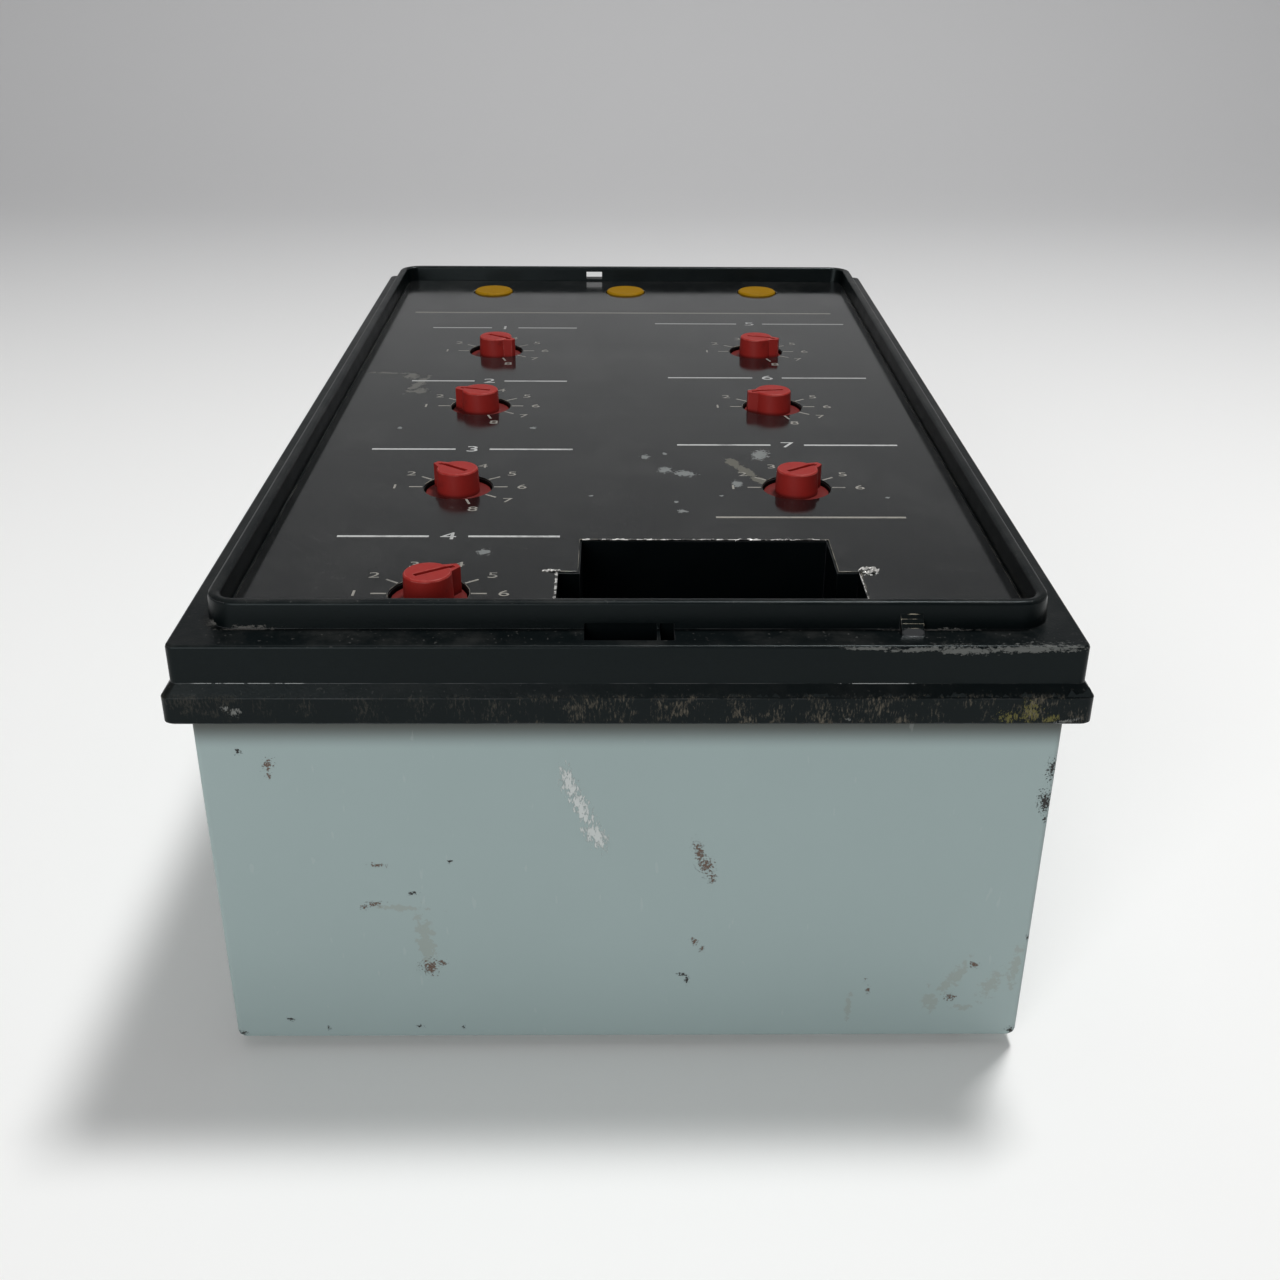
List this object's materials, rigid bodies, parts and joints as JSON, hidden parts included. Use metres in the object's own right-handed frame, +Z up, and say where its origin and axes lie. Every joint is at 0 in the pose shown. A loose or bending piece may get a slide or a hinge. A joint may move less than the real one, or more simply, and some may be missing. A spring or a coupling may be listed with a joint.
{
  "type": "electronic trip unit",
  "caption": "Electronic trip unit of a power circuit breaker: grey steel can, black moulded front, red setting dials, yellow trip targets and an open rating plug well.",
  "frame": {"origin": "middle of the footprint, on the plane that the case screws' heads stand on", "axes": "X across the front to the right, Y from the well's end to the trip targets' end, Z up out of the front"},
  "size_m": [0.1404, 0.244, 0.083],
  "materials": {
    "can_paint": "satin light blue-grey paint, chipped",
    "black_moulding": "black thermoset moulding, semi-matt",
    "legend_film": "glossy black film",
    "dial_red": "red plastic, satin",
    "target_yellow": "yellow plastic, satin",
    "switch_body": "dark plastic",
    "bright_steel": "bright zinc-plated steel",
    "board_green": "green solder mask",
    "socket_body": "black plastic",
    "brass": "plain brass",
    "core_steel": "varnished core and winding",
    "capacitor_sleeve": "dark blue sleeve",
    "ribbon_grey": "grey ribbon"
  },
  "bodies": {
    "case": {"enclosure_can": "can_paint", "front_moulding": "black_moulding", "legend_plate": "legend_film", "rotary_switch_1": "switch_body", "rotary_switch_2": "switch_body", "rotary_switch_3": "switch_body", "rotary_switch_4": "switch_body", "rotary_switch_5": "switch_body", "rotary_switch_6": "switch_body", "rotary_switch_7": "switch_body", "target_coil_1": "switch_body", "target_coil_2": "switch_body", "target_coil_3": "switch_body", "processor_chip": "switch_body", "target_spring_1": "bright_steel", "target_spring_2": "bright_steel", "target_spring_3": "bright_steel", "case_screw_1": "bright_steel", "case_screw_2": "bright_steel", "case_screw_3": "bright_steel", "case_screw_4": "bright_steel", "switch_board": "board_green", "main_board": "board_green", "plug_socket": "socket_body", "rear_connector": "socket_body", "board_header_1": "socket_body", "board_header_2": "socket_body", "guide_bush_1": "brass", "guide_bush_2": "brass", "board_spacer_1": "brass", "board_spacer_2": "brass", "board_spacer_3": "brass", "board_spacer_4": "brass", "standoff_1": "brass", "standoff_2": "brass", "standoff_3": "brass", "standoff_4": "brass", "sensing_transformer_1": "core_steel", "sensing_transformer_2": "core_steel", "sensing_transformer_3": "core_steel", "reservoir_capacitor_1": "capacitor_sleeve", "reservoir_capacitor_2": "capacitor_sleeve", "ribbon_cable": "ribbon_grey"},
    "dial_1": {"dial_1": "dial_red"},
    "dial_2": {"dial_2": "dial_red"},
    "dial_3": {"dial_3": "dial_red"},
    "dial_4": {"dial_4": "dial_red"},
    "dial_5": {"dial_5": "dial_red"},
    "dial_6": {"dial_6": "dial_red"},
    "dial_7": {"dial_7": "dial_red"},
    "trip_target_1": {"trip_target_1": "target_yellow"},
    "trip_target_2": {"trip_target_2": "target_yellow"},
    "trip_target_3": {"trip_target_3": "target_yellow"}
  },
  "joints": [
    {"name": "dial_1_turn", "type": "hinge", "parent": "case", "child": "dial_1", "pos_m": [-0.0317, 0.03775, 0.0792], "axis": [0, 0, 1], "range_deg": [-36, 216]},
    {"name": "dial_2_turn", "type": "hinge", "parent": "case", "child": "dial_2", "pos_m": [-0.0317, -0.00625, 0.0792], "axis": [0, 0, 1], "range_deg": [-234, 18]},
    {"name": "dial_3_turn", "type": "hinge", "parent": "case", "child": "dial_3", "pos_m": [-0.0317, -0.05575, 0.0792], "axis": [0, 0, 1], "range_deg": [-214, 38]},
    {"name": "dial_4_turn", "type": "hinge", "parent": "case", "child": "dial_4", "pos_m": [-0.0317, -0.10325, 0.0792], "axis": [0, 0, 1], "range_deg": [-33, 147]},
    {"name": "dial_5_turn", "type": "hinge", "parent": "case", "child": "dial_5", "pos_m": [0.0317, 0.03775, 0.0792], "axis": [0, 0, 1], "range_deg": [-54, 198]},
    {"name": "dial_6_turn", "type": "hinge", "parent": "case", "child": "dial_6", "pos_m": [0.0317, -0.00625, 0.0792], "axis": [0, 0, 1], "range_deg": [-260, 0]},
    {"name": "dial_7_turn", "type": "hinge", "parent": "case", "child": "dial_7", "pos_m": [0.0317, -0.05575, 0.0792], "axis": [0, 0, 1], "range_deg": [-36, 144]},
    {"name": "trip_target_1_pop", "type": "slide", "parent": "case", "child": "trip_target_1", "axis": [0, 0, 1], "range_m": [0, 0.003], "deforming": ["target_spring_1"]},
    {"name": "trip_target_2_pop", "type": "slide", "parent": "case", "child": "trip_target_2", "axis": [0, 0, 1], "range_m": [0, 0.003], "deforming": ["target_spring_2"]},
    {"name": "trip_target_3_pop", "type": "slide", "parent": "case", "child": "trip_target_3", "axis": [0, 0, 1], "range_m": [0, 0.003], "deforming": ["target_spring_3"]}
  ]
}
